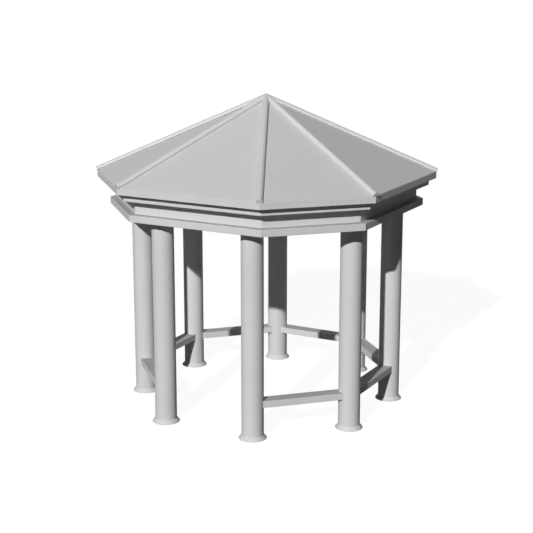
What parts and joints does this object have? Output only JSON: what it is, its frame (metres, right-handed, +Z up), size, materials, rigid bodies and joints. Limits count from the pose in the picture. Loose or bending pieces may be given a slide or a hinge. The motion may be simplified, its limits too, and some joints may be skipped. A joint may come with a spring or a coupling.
{
  "type": "garden gazebo",
  "caption": "Open garden gazebo with round columns on flared bases, low rails between them, a stepped entablature and a shallow pointed roof with a round roll on each hip.",
  "frame": {"origin": "ground level at the middle of the ring of columns", "axes": "+Z up, -Y out through the open entry bay, +X to the right of someone facing the entry from outside"},
  "size_m": [3.6254, 3.6254, 3.6705],
  "materials": {
    "column_paint": "matte",
    "rail_paint": "matte",
    "trim_paint": "matte",
    "roof_sheet": "matte",
    "roll_sheet": "matte",
    "inside_timber": "matte"
  },
  "bodies": {
    "root": {"column_1": "column_paint", "column_2": "column_paint", "column_3": "column_paint", "column_4": "column_paint", "column_5": "column_paint", "column_6": "column_paint", "column_7": "column_paint", "column_8": "column_paint", "column_bases": "column_paint", "rail_front_right": "rail_paint", "rail_right": "rail_paint", "rail_back_right": "rail_paint", "rail_back": "rail_paint", "rail_back_left": "rail_paint", "rail_left": "rail_paint", "rail_front_left": "rail_paint", "architrave_main_sides": "trim_paint", "architrave_corner_sides": "trim_paint", "frieze_outer_main_sides": "trim_paint", "frieze_outer_corner_sides": "trim_paint", "frieze_inner_main_sides": "trim_paint", "frieze_inner_corner_sides": "trim_paint", "cornice_main_sides": "trim_paint", "cornice_corner_sides": "trim_paint", "eaves_main_sides": "trim_paint", "eaves_corner_sides": "trim_paint", "roof_panel_front": "roof_sheet", "roof_panel_front_right": "roof_sheet", "roof_panel_right": "roof_sheet", "roof_panel_back_right": "roof_sheet", "roof_panel_back": "roof_sheet", "roof_panel_back_left": "roof_sheet", "roof_panel_left": "roof_sheet", "roof_panel_front_left": "roof_sheet", "hip_roll_1": "roll_sheet", "hip_roll_2": "roll_sheet", "hip_roll_3": "roll_sheet", "hip_roll_4": "roll_sheet", "hip_roll_5": "roll_sheet", "hip_roll_6": "roll_sheet", "hip_roll_7": "roll_sheet", "hip_roll_8": "roll_sheet", "hip_rafters": "inside_timber", "roof_hub": "inside_timber"}
  },
  "joints": []
}
